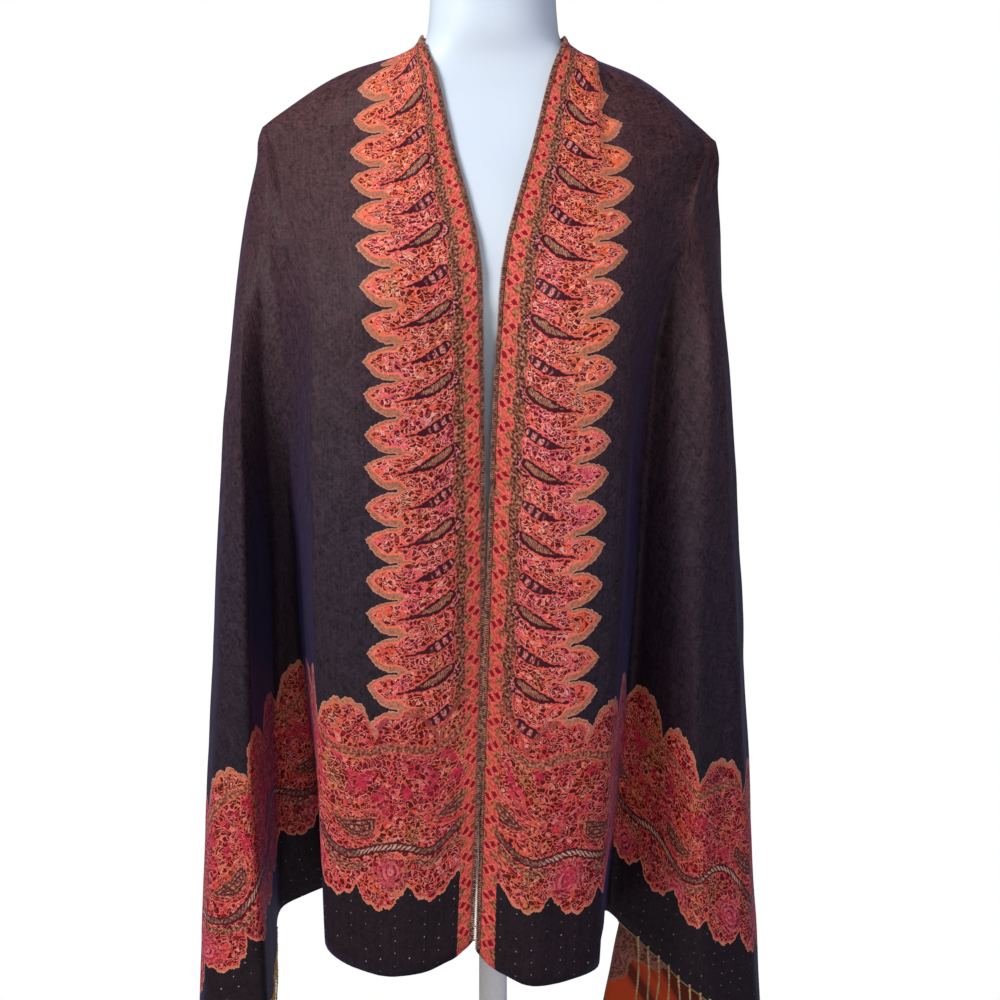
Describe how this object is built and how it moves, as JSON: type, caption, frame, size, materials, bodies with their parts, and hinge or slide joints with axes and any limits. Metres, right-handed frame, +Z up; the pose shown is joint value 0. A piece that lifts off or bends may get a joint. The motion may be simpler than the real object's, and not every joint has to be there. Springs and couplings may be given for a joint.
{
  "type": "pashmina shawl on a dress form",
  "caption": "Long woven shawl with paisley borders and end bands, draped open over the shoulders of a limbless dress form on a pole and round base.",
  "frame": {"origin": "on the underside of the base, on the axis of the pole", "axes": "+Z up; -Y is the shawl's front; +X is to the right of someone who faces that front"},
  "size_m": [0.5268, 0.4204, 1.46],
  "materials": {
    "shawl_cloth": "matte twill with a soft sheen, coral paisley borders",
    "fringe_yarn": "twisted yarn",
    "form_plastic": "smooth satin white",
    "stand_metal": "white satin"
  },
  "bodies": {
    "root": {"shawl_left_front": "shawl_cloth", "shawl_back": "shawl_cloth", "shawl_right_front": "shawl_cloth", "fringe_left": "fringe_yarn", "fringe_right": "fringe_yarn", "form_body": "form_plastic", "stand_base": "stand_metal", "stand_pole": "stand_metal"}
  },
  "joints": []
}
